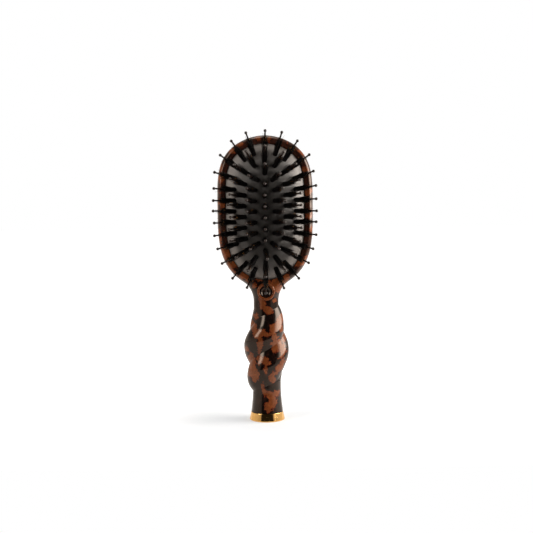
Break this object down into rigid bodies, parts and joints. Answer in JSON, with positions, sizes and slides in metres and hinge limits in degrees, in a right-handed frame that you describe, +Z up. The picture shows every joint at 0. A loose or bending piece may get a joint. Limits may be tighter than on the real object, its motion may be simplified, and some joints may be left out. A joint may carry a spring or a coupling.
{
  "type": "vanity hairbrush",
  "caption": "Standing vanity hairbrush: oval head with a cushioned field of mixed bristle and ball-tipped pins, twisted glossy handle, flared gilt foot cap.",
  "frame": {"origin": "centre of the foot cap's flat underside, on the handle's axis", "axes": "+Z up the handle to the head, bristles towards -Y, +X to the right seen from the bristle side"},
  "size_m": [0.0791, 0.0582, 0.2256],
  "materials": {
    "acetate": "polished tortoiseshell acetate",
    "cushion_rubber": "fine woven-textured dark grey rubber",
    "frame_plastic": "plain moulded",
    "nylon_pin": "glossy dark brown nylon",
    "bristle": "black boar bristle with a few amber hairs",
    "gilt": "polished gilt brass",
    "stud_steel": "plain steel"
  },
  "bodies": {
    "brush": {"brush_body": "acetate", "cushion_pad": "cushion_rubber", "pad_retaining_frame": "frame_plastic", "foot_cap": "gilt", "cap_stud": "stud_steel"},
    "outer_tufts": {"pins_outer_upper_right": "nylon_pin", "bristles_outer_upper_right": "bristle", "pins_outer_lower_right": "nylon_pin", "bristles_outer_lower_right": "bristle", "pins_outer_lower_left": "nylon_pin", "bristles_outer_lower_left": "bristle", "pins_outer_upper_left": "nylon_pin", "bristles_outer_upper_left": "bristle"},
    "second_tufts": {"pins_second_upper_right": "nylon_pin", "bristles_second_upper_right": "bristle", "pins_second_lower_right": "nylon_pin", "bristles_second_lower_right": "bristle", "pins_second_lower_left": "nylon_pin", "bristles_second_lower_left": "bristle", "pins_second_upper_left": "nylon_pin", "bristles_second_upper_left": "bristle"},
    "third_tufts": {"pins_third_upper_right": "nylon_pin", "bristles_third_upper_right": "bristle", "pins_third_lower_right": "nylon_pin", "bristles_third_lower_right": "bristle", "pins_third_lower_left": "nylon_pin", "bristles_third_lower_left": "bristle", "pins_third_upper_left": "nylon_pin", "bristles_third_upper_left": "bristle"},
    "centre_tufts": {"pins_centre": "nylon_pin", "bristles_centre": "bristle"}
  },
  "joints": [
    {"name": "centre_press", "type": "slide", "parent": "brush", "child": "centre_tufts", "axis": [0, 1, 0], "range_m": [0, 0.0035], "stiffness_N_per_m": 800, "deforming": ["cushion_pad"]},
    {"name": "third_press", "type": "slide", "parent": "brush", "child": "third_tufts", "axis": [0, 1, 0], "range_m": [0, 0.00333], "stiffness_N_per_m": 800},
    {"name": "second_press", "type": "slide", "parent": "brush", "child": "second_tufts", "axis": [0, 1, 0], "range_m": [0, 0.00273], "stiffness_N_per_m": 800},
    {"name": "outer_press", "type": "slide", "parent": "brush", "child": "outer_tufts", "axis": [0, 1, 0], "range_m": [0, 0.00158], "stiffness_N_per_m": 800}
  ],
  "couplings": [
    {"joint": "third_press", "follows": "centre_press", "ratio": 0.951},
    {"joint": "second_press", "follows": "centre_press", "ratio": 0.779},
    {"joint": "outer_press", "follows": "centre_press", "ratio": 0.451}
  ]
}
